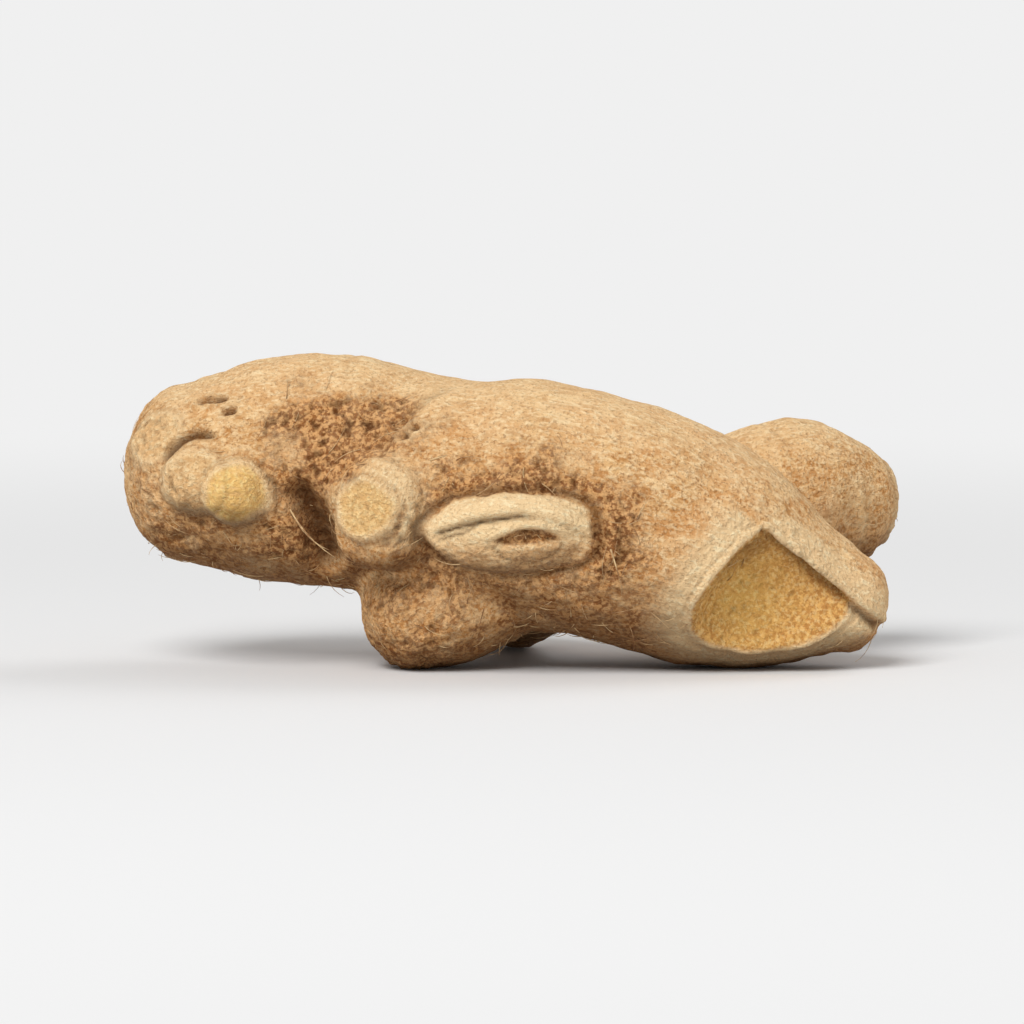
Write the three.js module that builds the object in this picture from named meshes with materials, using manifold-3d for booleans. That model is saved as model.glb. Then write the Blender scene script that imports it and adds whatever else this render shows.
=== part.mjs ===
// A ginger root: thick round fingers that grew together as one piece, lying on a surface.
// Millimetres. +X runs along the main finger to its scarred end, +Y to the back, +Z up.
// The origin is on the surface, under the middle of the root.
//
// Each finger is a capsule bent along its own middle line, with its own thickness at each station.
// A finger starts on the middle line of the one that it grew from, so all of them move together.
import * as THREE from "three";
import { mergeVertices } from "three/addons/utils/BufferGeometryUtils.js";
import Module from "manifold-3d";

// ---- The fingers: how far each reaches, its thickness front to back (width) and top to bottom (height) ----
// "tip" is how far its end bulges, as a share of half the thickness there.
const MAIN_FINGER = { reach: 55, width: 31, height: 32.4, tip: 0.8 };
const LEFT_FINGER = { reach: 40.5, width: 29, height: 31.2, tip: 0.78 };
const REAR_FINGER = { reach: 34.6, width: 19.6, height: 20.4, tip: 0.78 };
const BACK_FINGER = { reach: 26, width: 18, height: 18, tip: 0.7 };
const UNDER_STUB = { reach: 11, width: 21, height: 17, tip: 0.75 };
const KNOB = { reach: 19.5, width: 14.8, height: 16.2, tip: 0.45 };
const HEEL = 0.8; // how far the end inside the other finger bulges, as a share of half the thickness

// ---- The way that each finger grows, in degrees on the level, anticlockwise from +X ----
const LEFT_HEADING = 170;
const REAR_HEADING = 30;
const BACK_HEADING = 100;
const STUB_HEADING = 190;
const KNOB_HEADING = 252;

// ---- The rounds on the skin: buds stand out of it, and the scar where a finger came off goes into it ----
// Each is at a share of a finger's line, so many degrees round it, and turned so many degrees on the skin.
const EYE_BUD = { share: 0.14, round: -12, turn: 12, length: 22, height: 10.8, depth: 7, stands_out: 2.6 };
const END_BUD = { share: 0.94, round: 182, turn: 0, length: 10.4, height: 8.8, depth: 7, stands_out: 2 };
const SIDE_BUD = { share: 0.8, round: 187, turn: 0, length: 8.4, height: 9.6, depth: 8, stands_out: 2.6 };
const SCAR = { share: 0.85, round: 3, turn: 48, length: 33, height: 20, depth: 13, goes_in: 3.7 };

// ---- The lip of skin left over the scar: everything above and beyond this slope stays ----
const LIP_SHARE = 0.76; // where on the main finger's line the slope is measured
const LIP_ABOVE_LINE = 7.2; // how far above the middle line it is there
const LIP_SLOPE = 40; // degrees down from the level, towards the finger's end
const LIP_BLOCK = 80; // the block that keeps the lip, larger than the scar

// ---- How finely the shapes are divided ----
const THICK = { sides: 36, rings: 20 }; // a thick finger
const THIN = { sides: 24, rings: 9 }; // a thin finger, a stub or a knob
const END_RINGS = 7; // each rounded end

const SKIN = { color: 0xc99b66, roughness: 0.86, metalness: 0 };
const UP = new THREE.Vector3(0, 0, 1);

/** A direction on the level, in degrees from +X, anticlockwise from above. */
const level = (degrees) =>
  new THREE.Vector3(1, 0, 0).applyAxisAngle(UP, THREE.MathUtils.degToRad(degrees));

/** One finger: a middle line with a half-width and half-height along it. */
class Finger {
  /**
   * @param {object} size reach, width, height and tip
   * @param {THREE.Vector3} start where its middle line begins, seen from above
   * @param {number} heading the way it grows, in degrees on the level
   * @param {number[][]} stations each [along, aside, lift, fat]: a share of the reach along the heading,
   *   a share of the width to the left, the underside's height above the surface, a share of the thickness
   */
  constructor(size, start, heading, stations) {
    this.size = size;
    const forward = level(heading);
    const left = level(heading + 90);
    const middle = ([along, aside, lift, fat]) =>
      start
        .clone()
        .addScaledVector(forward, along * size.reach)
        .addScaledVector(left, aside * size.width)
        .setZ(lift + (fat * size.height) / 2);
    const halves = ([, , , fat]) => new THREE.Vector3((fat * size.width) / 2, (fat * size.height) / 2, 0);
    this.line = new THREE.CatmullRomCurve3(stations.map(middle));
    this.girth = new THREE.CatmullRomCurve3(stations.map(halves));
  }

  /** The middle, the three directions and the two half-sizes at a share of the line. */
  at(share) {
    const forward = this.line.getTangent(share);
    const side = new THREE.Vector3().crossVectors(forward, UP).normalize();
    const above = new THREE.Vector3().crossVectors(side, forward);
    const { x: wide, y: tall } = this.girth.getPoint(share);
    return { middle: this.line.getPoint(share), forward, side, above, wide, tall };
  }

  /** The point of the skin at a share of the line, and the way that it faces, so many degrees round. */
  skin(share, round) {
    const { middle, side, above, wide, tall } = this.at(share);
    const turn = THREE.MathUtils.degToRad(round);
    const point = middle
      .clone()
      .addScaledVector(side, wide * Math.cos(turn))
      .addScaledVector(above, tall * Math.sin(turn));
    const facing = new THREE.Vector3()
      .addScaledVector(side, Math.cos(turn) / wide)
      .addScaledVector(above, Math.sin(turn) / tall)
      .normalize();
    return { point, facing };
  }

  /** A closed skin: a unit capsule whose straight part follows the line and whose ends are round. */
  geometry({ sides, rings }) {
    const capsule = new THREE.CapsuleGeometry(1, 1, END_RINGS, sides, rings);
    const points = capsule.getAttribute("position");
    for (let i = 0; i < points.count; i += 1) {
      const along = points.getY(i) + 0.5;
      const share = THREE.MathUtils.clamp(along, 0, 1);
      const { middle, forward, side, above, wide, tall } = this.at(share);
      const bulge = (along - share) * (share === 0 ? HEEL : this.size.tip);
      middle
        .addScaledVector(forward, bulge * Math.min(wide, tall))
        .addScaledVector(side, points.getX(i) * wide)
        .addScaledVector(above, points.getZ(i) * tall);
      points.setXYZ(i, middle.x, middle.y, middle.z);
    }
    return capsule;
  }
}

/** A flattened sphere on a finger's skin, with its outer face so far out of it. */
function roundOn(finger, { share, round, turn, length, height, depth, stands_out: out }) {
  const { point, facing } = finger.skin(share, round);
  const along = finger.at(share).forward.applyAxisAngle(facing, THREE.MathUtils.degToRad(turn));
  const across = new THREE.Vector3().crossVectors(facing, along).normalize();
  along.crossVectors(across, facing);
  const centre = point.addScaledVector(facing, out - depth / 2);
  return new THREE.SphereGeometry(0.5, THICK.sides, THIN.sides)
    .scale(length, height, depth)
    .applyMatrix4(new THREE.Matrix4().makeBasis(along, across, facing))
    .translate(centre.x, centre.y, centre.z);
}

/** The block over the lip's slope, which runs down along a finger. */
function lipBlock(finger) {
  const { middle } = finger.at(LIP_SHARE);
  return new THREE.BoxGeometry(LIP_BLOCK, LIP_BLOCK, LIP_BLOCK)
    .translate(0, 0, LIP_BLOCK / 2)
    .rotateY(THREE.MathUtils.degToRad(LIP_SLOPE))
    .translate(middle.x, middle.y, middle.z + LIP_ABOVE_LINE);
}

const wasm = await Module();
wasm.setup();

/** A closed three.js geometry as a manifold-3d solid. */
function solid(geometry) {
  const bare = geometry.clone();
  bare.deleteAttribute("normal");
  bare.deleteAttribute("uv");
  const merged = mergeVertices(bare);
  return new wasm.Manifold(
    new wasm.Mesh({
      numProp: 3,
      vertProperties: merged.getAttribute("position").array,
      triVerts: new Uint32Array(merged.index.array),
    }),
  );
}

/** A manifold-3d solid as a three.js geometry that stands on the origin's level, centred over it. */
function standing(made) {
  const { vertProperties, triVerts } = made.getMesh();
  const geometry = new THREE.BufferGeometry()
    .setAttribute("position", new THREE.BufferAttribute(vertProperties, 3))
    .setIndex(new THREE.BufferAttribute(triVerts, 1));
  geometry.computeBoundingBox();
  const { min, max } = geometry.boundingBox;
  geometry.translate(-(min.x + max.x) / 2, -(min.y + max.y) / 2, -min.z);
  geometry.computeVertexNormals();
  return geometry;
}

// ---- The fingers, each from where it starts to where it ends ----
const main = new Finger(MAIN_FINGER, new THREE.Vector3(), 0, [
  [0.0, 0.0, 10.2, 0.875],
  [0.251, 0.0, 5.3, 1.02],
  [0.48, 0.0, 2.6, 1.01],
  [0.676, 0.0, -0.25, 0.925],
  [0.84, 0.0, -0.5, 0.71],
  [1.0, 0.0, 2.0, 0.41],
]);
const left = new Finger(LEFT_FINGER, main.at(0.05).middle, LEFT_HEADING, [
  [-0.05, -0.12, 9.3, 0.93],
  [0.2, -0.12, 9.6, 0.97],
  [0.46, -0.1, 10.4, 0.995],
  [0.7, -0.06, 11.0, 0.955],
  [0.93, -0.02, 13.6, 0.78],
]);
const rear = new Finger(REAR_FINGER, main.at(0.42).middle, REAR_HEADING, [
  [0.0, 0.3, 11.0, 0.82],
  [0.38, 0.3, 10.6, 0.87],
  [0.74, 0.26, 11.1, 1.03],
  [1.0, 0.22, 11.8, 0.82],
]);
const back = new Finger(BACK_FINGER, main.at(0.2).middle, BACK_HEADING, [
  [0.0, 0.0, 7.0, 1.0],
  [0.4, 0.0, 3.0, 0.98],
  [0.75, 0.0, 0.6, 0.88],
  [1.0, 0.0, 0.0, 0.76],
]);
const stub = new Finger(UNDER_STUB, main.at(0.04).middle, STUB_HEADING, [
  [-0.4, 0.0, 3.4, 1.0],
  [0.2, 0.0, 0.6, 0.97],
  [0.7, 0.0, 0.0, 0.85],
]);
const knob = new Finger(KNOB, left.at(0.22).middle, KNOB_HEADING, [
  [0.0, 0.0, 14.1, 1.05],
  [0.5, 0.0, 14.1, 1.0],
  [0.92, 0.0, 14.5, 0.92],
]);

const grown = [
  main.geometry(THICK),
  left.geometry(THICK),
  rear.geometry(THIN),
  back.geometry(THIN),
  stub.geometry(THIN),
  knob.geometry(THIN),
  roundOn(main, EYE_BUD),
  roundOn(left, END_BUD),
  roundOn(left, SIDE_BUD),
].map(solid);
const scoop = solid(roundOn(main, { ...SCAR, stands_out: SCAR.depth - SCAR.goes_in }));
const scar = scoop.subtract(solid(lipBlock(main)));
const whole = grown.reduce((sum, next) => sum.add(next)).subtract(scar);

const ginger = new THREE.Mesh(standing(whole), new THREE.MeshStandardMaterial(SKIN));
ginger.name = "ginger_root";

const root = new THREE.Group();
root.add(ginger);

export default root;
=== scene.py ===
"""A whole ginger root on a pale floor: its skin, buds, scars and root hairs.

Lengths are millimetres until a mesh is written, which is in metres. A place is a share of the CAD box, from
its lowest corner (0, 0, 0) to its highest (1, 1, 1). +X runs along the main finger to its scarred end, +Y to
the back, +Z up.
"""

import logging
import math
from dataclasses import dataclass, field
from enum import Enum

import bpy
import numpy as np
from mathutils import Matrix, Vector


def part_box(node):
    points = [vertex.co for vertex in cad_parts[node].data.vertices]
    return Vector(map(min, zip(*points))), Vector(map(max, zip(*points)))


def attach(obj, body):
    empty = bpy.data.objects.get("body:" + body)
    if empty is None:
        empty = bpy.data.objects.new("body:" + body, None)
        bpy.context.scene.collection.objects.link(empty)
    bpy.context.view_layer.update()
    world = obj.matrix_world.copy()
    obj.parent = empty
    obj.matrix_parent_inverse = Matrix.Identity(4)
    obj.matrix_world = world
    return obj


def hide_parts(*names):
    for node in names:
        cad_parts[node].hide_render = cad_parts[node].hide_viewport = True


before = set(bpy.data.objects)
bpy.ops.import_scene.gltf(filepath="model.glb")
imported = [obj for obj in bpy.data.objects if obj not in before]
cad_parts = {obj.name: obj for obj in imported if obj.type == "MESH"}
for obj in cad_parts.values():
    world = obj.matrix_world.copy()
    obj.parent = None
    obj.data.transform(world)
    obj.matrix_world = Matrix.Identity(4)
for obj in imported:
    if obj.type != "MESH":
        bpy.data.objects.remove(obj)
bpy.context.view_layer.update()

log = logging.getLogger("ginger")
METRE = 1000.0  # millimetres
FLOOR_GAP = 0.05  # millimetres that the root stops above the floor
UP = np.array([0.0, 0.0, 1.0])
Array = np.ndarray
Socket = bpy.types.NodeSocket
Colour = tuple[int, int, int]
Line = tuple[tuple[float, float, float], ...]


# ---------------------------------------------------------------- measures


def unit(vectors: Array) -> Array:
    """Vectors divided by their lengths."""
    return vectors / np.maximum(np.linalg.norm(vectors, axis=-1, keepdims=True), 1e-12)


def fade(values: Array, start: float, end: float) -> Array:
    """A smooth step: 0 at start, 1 at end, by 3t^2 - 2t^3 of the share of the way between them."""
    share = np.clip((values - start) / (end - start), 0.0, 1.0)
    return share * share * (3.0 - 2.0 * share)


def bell(values: Array, width: float) -> Array:
    """A bell: 1 at 0, falling by exp of minus the square of the value over the width."""
    return np.exp(-((values / width) ** 2))


@dataclass(frozen=True)
class Box:
    """The CAD box, in millimetres."""

    low: Array
    size: Array

    def at(self, share: tuple[float, float, float]) -> Array:
        """The point at a share of the way along each side."""
        return self.low + np.array(share) * self.size


def cad_box() -> Box:
    """The box of the CAD node."""
    low, high = (np.array(corner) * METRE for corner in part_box("ginger_root"))
    return Box(low, high - low)


# ---------------------------------------------------------------- noise


CORNERS = np.array([(x, y, z) for x in (0, 1) for y in (0, 1) for z in (0, 1)])
GRADIENTS = unit(np.random.default_rng(11).normal(size=(1024, 3)))
SEED_SHIFT = 31.7  # how far apart, in cells, two patterns are taken
NOISE_GAIN = 1.7  # brings the sum to about -1 to 1


def noise(points: Array, size: float, seed: int = 0) -> Array:
    """Smooth gradient noise.

    Each corner of a cubic lattice has a fixed direction, chosen by mixing the bits of its whole numbers. The
    value is the sum, over the corners of a point's cell, of the direction times the way from the corner, each
    weighted by 6t^5 - 15t^4 + 10t^3 of the distance to it.

    Args:
        points: places, one a row.
        size: the lattice's cell.
        seed: which of the many patterns.

    Returns:
        Values that run from about -1 to 1, one for each point.
    """
    placed = points / size + seed * SEED_SHIFT
    cell = np.floor(placed).astype(np.int64)
    part = placed - cell
    weight = part**3 * (part * (part * 6.0 - 15.0) + 10.0)
    total = np.zeros(len(points))
    for corner in CORNERS:
        x, y, z = (cell + corner).T
        key = (x * 73856093) ^ (y * 19349663) ^ (z * 83492791)
        key = ((key ^ (key >> 13)) * 1274126177) & 0x7FFFFFFF
        gradient = GRADIENTS[(key ^ (key >> 9)) % len(GRADIENTS)]
        share = np.prod(np.where(corner == 1, weight, 1.0 - weight), axis=1)
        total += share * ((part - corner) * gradient).sum(axis=1)
    return total * NOISE_GAIN


# ---------------------------------------------------------------- the skin as arrays


class Paint(Enum):
    """What is painted on the skin, as an attribute from 0 to 1."""

    CORK_AND_SHADE = "cork"  # rough brown skin; underneath and in wide hollows, partly painted shade
    PALE_AND_LIT = "pale"  # cream rims, and painted light on the upward faces
    SCAR = "scar"  # yellow bud scars
    FLESH = "flesh"  # the ochre face where a finger came off
    DARK = "dark"  # painted shade in creases, slits, pits, hollows and underneath; dark cork crumbs


class Surface:
    """A closed surface as arrays, with what is painted on it."""

    def __init__(self, mesh: bpy.types.Mesh) -> None:
        """Takes the points, triangles and edges of a mesh whose unit is the millimetre.

        Args:
            mesh: a closed mesh of four-sided faces.
        """
        self.points = read(mesh.vertices, "co", 3)
        self.faces = read(mesh.loops, "vertex_index", 1, np.int32).reshape(-1, 4)
        mesh.calc_loop_triangles()
        self.triangles = read(mesh.loop_triangles, "vertices", 3, np.int32)
        self.edges = read(mesh.edges, "vertices", 2, np.int32)
        self.degree = np.bincount(self.edges.ravel(), minlength=len(self.points))[:, None]
        self.paint = {kind: np.zeros(len(self.points)) for kind in Paint}

    def around(self, values: Array) -> Array:
        """The mean of each point's neighbours' values.

        Args:
            values: a number or a row for each point.

        Returns:
            The means, in the values' own shape.
        """
        columns = values.reshape(len(self.points), -1)
        total = np.empty_like(columns)
        first, second = self.edges.T
        for column, one in enumerate(columns.T):
            total[:, column] = np.bincount(first, one[second], len(one))
            total[:, column] += np.bincount(second, one[first], len(one))
        return (total / self.degree).reshape(values.shape)

    def smoothed(self, values: Array, rounds: int) -> Array:
        """Values moved halfway to their neighbours' mean, so many times."""
        for _ in range(rounds):
            values = (values + self.around(values)) / 2.0
        return values

    def relax(self, rounds: int, strength: Array | float = 1.0) -> None:
        """Moves the points towards their neighbours' mean, by half the strength, so many times."""
        share = np.broadcast_to(np.asarray(strength, float), len(self.points))[:, None] / 2.0
        for _ in range(rounds):
            self.points += share * (self.around(self.points) - self.points)

    def normals(self) -> Array:
        """The way out at each point: the sum of its triangles' cross products, made one long.

        Returns:
            A direction for each point.
        """
        a, b, c = (self.points[self.triangles[:, corner]] for corner in range(3))
        face = np.cross(b - a, c - a)
        total = np.empty_like(self.points)
        for axis in range(3):
            weights = np.repeat(face[:, axis], 3)
            total[:, axis] = np.bincount(self.triangles.ravel(), weights, len(self.points))
        return unit(total)

    def push(self, height: Array) -> None:
        """Moves each point along its normal by its height."""
        self.points += self.normals() * height[:, None]

    def hollow(self, rounds: int) -> Array:
        """How far each point lies inside the surface smoothed so many rounds: above 0 in a crease."""
        return ((self.smoothed(self.points, rounds) - self.points) * self.normals()).sum(axis=1)

    def nearest(self, place: Array) -> Array:
        """The point of the surface that is nearest to a place."""
        return self.points[((self.points - place) ** 2).sum(axis=1).argmin()]

    def away(self, place: Array) -> Array:
        """Each point's distance from a place."""
        return np.linalg.norm(self.points - place, axis=1)

    def add_paint(self, kind: Paint, amount: Array) -> None:
        """Paints over what is there, where the new amount is more."""
        self.paint[kind] = np.maximum(self.paint[kind], np.clip(amount, 0.0, 1.0))

    def wipe(self, amount: Array) -> None:
        """Takes the brown paint, and the painted shade and dark crumbs, off by a share at each point."""
        for kind in (Paint.CORK_AND_SHADE, Paint.DARK):
            self.paint[kind] = self.paint[kind] * (1.0 - amount)


def read(items: bpy.types.bpy_prop_collection, name: str, width: int, kind: type = float) -> Array:
    """One property of all the items, as an array with a row for each.

    Args:
        items: the mesh's points, loops or edges.
        name: the property.
        width: how many numbers an item has.
        kind: the kind of number.

    Returns:
        The values.
    """
    values = np.zeros(len(items) * width, np.int32 if kind is np.int32 else np.float32)
    items.foreach_get(name, values)
    return values.reshape(-1, width).astype(kind)


# ---------------------------------------------------------------- the fingers


@dataclass(frozen=True)
class Finger:
    """One finger's middle line, for the way that its fibres run.

    Attributes:
        line: places on its middle line, from where it grew to its end.
        half: half its thickness.
        rings: how far along the line its leaf rings are, in millimetres.
    """

    line: Line
    half: float
    rings: tuple[float, ...] = ()

    def measure(self, points: Array, box: Box) -> tuple[Array, Array]:
        """Measures points along the finger and from its line.

        Each piece of the line takes the nearest points. A point's share of a piece is its way along it over
        the piece's length squared, and it runs on past both ends of the whole line.

        Args:
            points: places, one a row.
            box: the CAD box.

        Returns:
            Places as (along, aside, above) in the finger's own directions, and distances over half its
            thickness.
        """
        stops = np.array([box.at(share) for share in self.line])
        steps = np.diff(stops, axis=0)
        lengths = np.linalg.norm(steps, axis=1)
        starts = np.concatenate([[0.0], np.cumsum(lengths)])[:-1]
        side = unit(np.cross(UP, stops[-1] - stops[0]))
        best = np.full(len(points), np.inf)
        own = np.zeros_like(points)
        for index, (start, step, length) in enumerate(zip(stops, steps, lengths)):
            share = (points - start) @ step / length**2
            clamped = np.clip(share, 0.0, 1.0)
            apart = points - start - clamped[:, None] * step
            distance = np.linalg.norm(apart, axis=1)
            if index == 0:
                clamped = np.where(share < 0.0, share, clamped)
            if index == len(steps) - 1:
                clamped = np.where(share > 1.0, share, clamped)
            above = apart @ np.cross(step / length, side)
            placed = np.stack([starts[index] + clamped * length, apart @ side, above], 1)
            nearer = distance < best
            best[nearer] = distance[nearer]
            own[nearer] = placed[nearer]
        return own, best / self.half


@dataclass(frozen=True)
class Spot:
    """A place on the skin with its own directions.

    Attributes:
        centre: its place.
        heading: the way that it faces, in degrees on the level, anticlockwise from +X.
        tilt: degrees up from the level.
        turn: how far its own level line is turned on the skin, in degrees, anticlockwise.
    """

    centre: tuple[float, float, float]
    heading: float = -90.0
    tilt: float = 0.0
    turn: float = 0.0

    def axes(self) -> Array:
        """Its three directions as rows: along, across and out.

        Returns:
            The three directions.
        """
        heading, tilt, turn = (math.radians(angle) for angle in (self.heading, self.tilt, self.turn))
        level = math.cos(tilt)
        out = np.array([math.cos(heading) * level, math.sin(heading) * level, math.sin(tilt)])
        along = unit(np.cross(UP, out))
        across = np.cross(out, along)
        turned = along * math.cos(turn) + across * math.sin(turn)
        return np.stack([turned, np.cross(out, turned), out])

    def local(self, points: Array, box: Box) -> tuple[Array, Array, Array]:
        """The points measured along, across and out from the spot."""
        u, v, w = self.axes() @ (points - box.at(self.centre)).T
        return u, v, w


# ---------------------------------------------------------------- what grows on the skin


@dataclass(frozen=True)
class RoundScar:
    """The flat round scar on the end of a bud or a short finger, with rings on it and a rim round it.

    Attributes:
        spot: the middle of the scar.
        radius: of the scar.
        flatten: how much of the end's roundness is taken away, from 0 to 1.
        rings: the height of its rings.
        rim: the height of its rim.
        yellow: how yellow it is.
        bulge: how far it stands out.
        collar: the height of the wrinkles past its rim, on its right.
    """

    spot: Spot
    radius: float
    flatten: float = 0.6
    rings: float = 0.12
    rim: float = 0.35
    yellow: float = 0.8
    bulge: float = 0.0
    collar: float = 0.0

    def mould(self, skin: Surface, box: Box) -> None:
        """Flattens or rounds the end.

        A point inside goes most of the way to the scar's plane, less near its edge, and out by the bulge
        times the square root of one less the square of its distance over 1.15 of the radius.

        Args:
            skin: the skin as it is so far.
            box: the CAD box.
        """
        u, v, w = self.spot.local(skin.points, box)
        across = np.hypot(u, v) / self.radius
        flat = self.flatten * (1.0 - fade(across, 0.85, 1.25))
        dome = self.bulge * np.sqrt(np.maximum(1.0 - (across / 1.15) ** 2, 0.0))
        skin.points += ((dome - flat * w) * (np.abs(w) < self.radius))[:, None] * self.spot.axes()[2]

    def relief(self, skin: Surface, box: Box) -> Array:
        """The height of the rings, the rim and the wrinkles.

        The rings are a cosine of the distance from the middle, and the rim is a bell round the edge. The
        wrinkles are a cosine outside a crescent, which is a bell at 1.35 of the radius, and fade at twice the
        radius.

        Args:
            skin: the skin as it is so far.
            box: the CAD box.

        Returns:
            The height at each point, in millimetres.
        """
        u, v, w = self.spot.local(skin.points, box)
        radius = self.radius
        near = np.abs(w) < radius * 0.9
        across = np.hypot(u, v * 1.06) + 0.10 * radius * noise(skin.points, radius * 0.7, 3)
        inside = (1.0 - fade(across, radius * 0.8, radius * 1.05)) * near
        rim = bell(across - radius, 0.16 * radius + 0.2) * near
        skin.add_paint(Paint.SCAR, inside * self.yellow)
        skin.add_paint(Paint.PALE_AND_LIT, np.maximum(0.65 * rim, 0.38 * inside))
        # Painted shade in a ring just outside the rim.
        skin.add_paint(Paint.DARK, bell(across - radius * 1.2, 0.3) * near * 0.22)
        rings = np.cos(across * math.tau / 1.25) * inside * self.rings
        height = rings + rim * self.rim - bell(across, radius * 0.25) * near * self.rings
        right = fade(u + 0.4 * v, 0.0, radius * 0.8) * (np.abs(w) < radius * 1.6) * (self.collar > 0.0)
        crescent = bell(across - radius * 1.35, radius * 0.13) * right
        past = fade(across, radius * 1.4, radius * 1.5) * (1.0 - fade(across, radius * 1.6, radius * 2.1))
        skin.add_paint(Paint.PALE_AND_LIT, np.maximum(0.95 * crescent, 0.55 * past * right))
        wrinkles = np.cos(across * math.tau / 1.1) * past * right
        return height + self.collar * (2.0 * crescent + wrinkles)


@dataclass(frozen=True)
class Groove:
    """A narrow groove along a bowed line on the skin, which is moved to the skin where it's nearest.

    Attributes:
        spot: the middle of the line.
        length: of the line.
        bow: how far its middle is bowed across.
        width: of the groove.
        depth: of the groove.
        dark: how dark the painted shade along it is.
    """

    spot: Spot
    length: float
    bow: float
    width: float
    depth: float
    dark: float = 0.7

    def relief(self, skin: Surface, box: Box) -> Array:
        """The depth: a bell across the line v = bow * (1 - (2u / length)^2), fading at both ends.

        Args:
            skin: the skin as it is so far.
            box: the CAD box.

        Returns:
            The height at each point, in millimetres.
        """
        u, v, w = self.spot.axes() @ (skin.points - skin.nearest(box.at(self.spot.centre))).T
        share = 2.0 * u / self.length
        off = v - self.bow * (1.0 - share**2) + 0.3 * noise(skin.points, 2.2, 5)
        here = (1.0 - fade(np.abs(share), 0.6, 1.0)) * (np.abs(w) < 6.0)
        cut = bell(off, self.width) * here
        lips = bell(np.abs(off) - self.width * 1.9, self.width) * here
        # Painted shade along the groove.
        skin.add_paint(Paint.DARK, cut * self.dark)
        return (0.2 * lips - cut) * self.depth


@dataclass(frozen=True)
class EyeBud:
    """The long bud on the main finger: a roll of skin over a sunken lens, like a closed eye.

    Attributes:
        spot: its middle.
        length: along the bud.
        height: across the bud.
    """

    spot: Spot
    length: float = 22.2
    height: float = 11.0

    def outline(self, skin: Surface, box: Box) -> tuple[Array, Array, Array]:
        """The points' places in the bud, and how far out they are: 1 on its edge, blunt on the right.

        Args:
            skin: the skin as it is so far.
            box: the CAD box.

        Returns:
            The places along and across the bud, and how far out of its middle each point is.
        """
        u, v, w = self.spot.local(skin.points, box)
        power = 2.0 + 0.6 * fade(u, -2.0, 9.0)
        along, across = np.abs(2.0 * u / self.length), np.abs(2.0 * v / self.height)
        out = (along**power + across**power) ** (1.0 / power)
        return u, v, np.where(np.abs(w) < 7.0, out + 0.03 * noise(skin.points, 3.5, 7), 9.0)

    def relief(self, skin: Surface, box: Box) -> Array:
        """The bud's folds, in millimetres along (u) and across (v) from its middle.

        The long fold is a bell across v = 2.95 - k (u - 1.5)^2, where k is more on the right. A short fold
        runs below its left part. The lens is an ellipse bent down at both ends, sunk under a lid, with
        painted shade darkest under the lid, and an arc below it. A roll stands over the long fold, and a
        ditch goes round the whole bud. The folds, the arc and the ditch carry painted shade too.

        Args:
            skin: the skin as it is so far.
            box: the CAD box.

        Returns:
            The height at each point, in millimetres.
        """
        u, v, out = self.outline(skin, box)
        inside = 1.0 - fade(out, 0.94, 1.02)
        wander = 0.16 * noise(skin.points, 2.2, 8)
        line = 2.95 - np.where(u < 1.5, 0.021, 0.048) * (u - 1.5) ** 2 + wander
        long_fold = bell(v - line, 0.36) * fade(u, -10.4, -9.0) * (1.0 - 0.75 * fade(u, 1.0, 5.0))
        apart = 0.95 * fade(-u, 2.6, 6.5)
        short_fold = bell(v - line + apart, 0.27) * fade(u, -9.8, -8.6) * fade(-u, 2.6, 4.2)
        roll = bell(v - line - 1.35, 1.0) * fade(u, -9.5, -5.0)
        lens = np.hypot((u - 2.6) / 4.9, (v - 0.15 + 0.028 * (u - 2.6) ** 2 + wander) / 1.25)
        sunk = 1.0 - fade(lens, 0.68, 1.06)
        rim = bell(lens - 1.32, 0.2) * (0.12 + 0.88 * fade(v, -0.4, 0.8))
        arc = bell(np.hypot((u - 2.7) / 4.5, (v + 0.5) / 3.1) - 1.0, 0.065) * fade(-v, 0.6, 1.5)
        wrinkles = 0.09 * np.cos((v - line) * math.tau / 1.05) * fade(np.abs(v - line), 1.2, 2.2) * inside
        ditch = bell(out - 1.09, 0.07)
        rough = noise(skin.points, 0.85, 9) * sunk * 0.3
        skin.wipe(inside)
        skin.add_paint(Paint.PALE_AND_LIT, inside * (0.3 + 0.7 * fade(v, -2.0, 1.2)) * (1.0 - sunk))
        skin.add_paint(Paint.CORK_AND_SHADE, 0.9 * inside * sunk)
        # Painted shade under the lid, in the folds, along the arc and in the ditch.
        lid = 0.6 * sunk * fade(v, -0.9, 0.9)
        skin.add_paint(Paint.DARK, inside * np.maximum(0.85 * long_fold, lid + 0.5 * arc))
        skin.add_paint(Paint.DARK, np.maximum(0.75 * ditch, 0.65 * short_fold * inside))
        skin.add_paint(Paint.CORK_AND_SHADE, bell(out - 1.28, 0.2) * (0.75 + 0.25 * fade(v, -2.0, 3.0)))
        folds = 0.45 * roll - 0.85 * long_fold - 0.5 * short_fold - 0.6 * sunk + 0.4 * rim - 0.4 * arc + rough
        return inside * (folds + wrinkles) - 0.7 * ditch


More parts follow.
